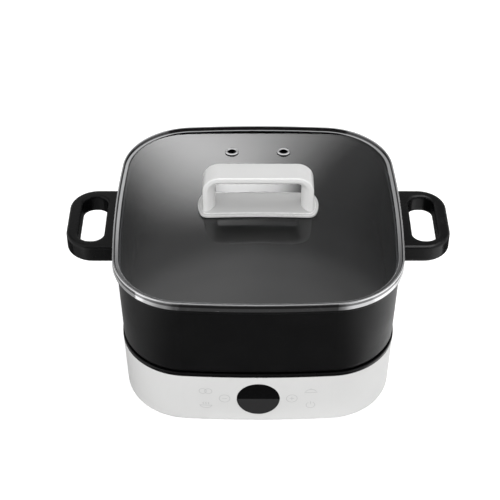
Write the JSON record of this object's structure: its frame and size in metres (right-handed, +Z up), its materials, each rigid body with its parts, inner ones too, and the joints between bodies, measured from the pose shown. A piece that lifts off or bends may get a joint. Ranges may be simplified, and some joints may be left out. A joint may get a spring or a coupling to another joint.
{
  "type": "electric hot pot",
  "caption": "Square electric hot pot: a heating base with a round display and touch symbols, a pot that lifts off it and a glass lid that lifts off the pot.",
  "frame": {"origin": "on the table, under the middle of the base", "axes": "+X to the user's right, along the line of the two side handles; +Y to the back, where the power inlet is; +Z up"},
  "size_m": [0.387, 0.2906, 0.2161],
  "materials": {
    "white_housing": "white moulded plastic, satin gloss",
    "black_plastic": "black heat-resistant moulded plastic, fine matt",
    "grey_plastic": "pale grey moulded plastic, matt",
    "foot_rubber": "black rubber, matt",
    "screw_steel": "zinc-plated steel",
    "plate_coating": "cast aluminium with a dark heat-resistant coating, matt",
    "tube_steel": "heat-tinted sheath steel",
    "pan_steel": "galvanised sheet steel",
    "bare_aluminium": "drawn aluminium, plain",
    "spring_steel": "spring wire",
    "component_black": "moulded component body",
    "display_black": "black tinted window, gloss",
    "board_green": "glass-fibre circuit board",
    "component_blue": "moulded component body",
    "ribbon_grey": "flat multi-core lead",
    "lead_white": "silicone-insulated lead",
    "brass_pins": "nickel-plated brass",
    "pot_coating": "cast aluminium with a black non-stick coating, satin",
    "polished_steel": "stainless steel, polished",
    "seal_silicone": "black silicone, satin",
    "smoked_glass": "tempered smoked glass, polished",
    "white_handle": "white moulded plastic, satin gloss"
  },
  "bodies": {
    "base": {"base_housing": "white_housing", "top_deck": "black_plastic", "bottom_cover": "grey_plastic", "foot_front_left": "foot_rubber", "foot_front_right": "foot_rubber", "foot_rear_left": "foot_rubber", "foot_rear_right": "foot_rubber", "cover_screws": "screw_steel", "heating_plate": "plate_coating", "heating_tube": "tube_steel", "heat_pan": "pan_steel", "pan_screws": "screw_steel", "plate_screws": "screw_steel", "sensor_sleeve": "black_plastic", "limit_thermostat": "component_black", "thermal_fuse": "bare_aluminium", "display_lens": "display_black", "display_board": "board_green", "display_module": "component_black", "touch_pads": "component_black", "board_screws": "screw_steel", "power_board": "board_green", "power_relay": "component_blue", "mains_capacitor": "component_blue", "power_transformer": "component_black", "ribbon_cable": "ribbon_grey", "heater_leads": "lead_white", "mains_leads": "lead_white", "power_inlet": "black_plastic", "inlet_pins": "brass_pins", "inlet_screws": "screw_steel"},
    "pot": {"pot_body": "pot_coating", "handle_right": "black_plastic", "handle_left": "black_plastic", "handle_screws": "screw_steel"},
    "lid": {"lid_rim": "polished_steel", "rim_seal": "seal_silicone", "lid_glass": "smoked_glass", "lid_handle_base": "white_handle", "lid_handle_gasket": "seal_silicone", "lid_handle_grip": "white_handle", "lid_handle_washers": "screw_steel", "lid_handle_screws": "screw_steel", "steam_vent_left": "polished_steel", "steam_vent_right": "polished_steel", "vent_rings": "seal_silicone"},
    "sensor": {"sensor_cap": "bare_aluminium", "sensor_spring": "spring_steel", "thermistor": "component_black"}
  },
  "joints": [
    {"name": "pot_lift", "type": "slide", "parent": "base", "child": "pot", "axis": [0, 0, 1], "range_m": [0, 0.12]},
    {"name": "lid_lift", "type": "slide", "parent": "pot", "child": "lid", "axis": [0, 0, 1], "range_m": [0, 0.12]},
    {"name": "sensor_rise", "type": "slide", "parent": "base", "child": "sensor", "axis": [0, 0, 1], "range_m": [0, 0.003], "deforming": ["sensor_spring"]}
  ],
  "couplings": [
    {"joint": "sensor_rise", "follows": "pot_lift", "ratio": 0.025}
  ]
}
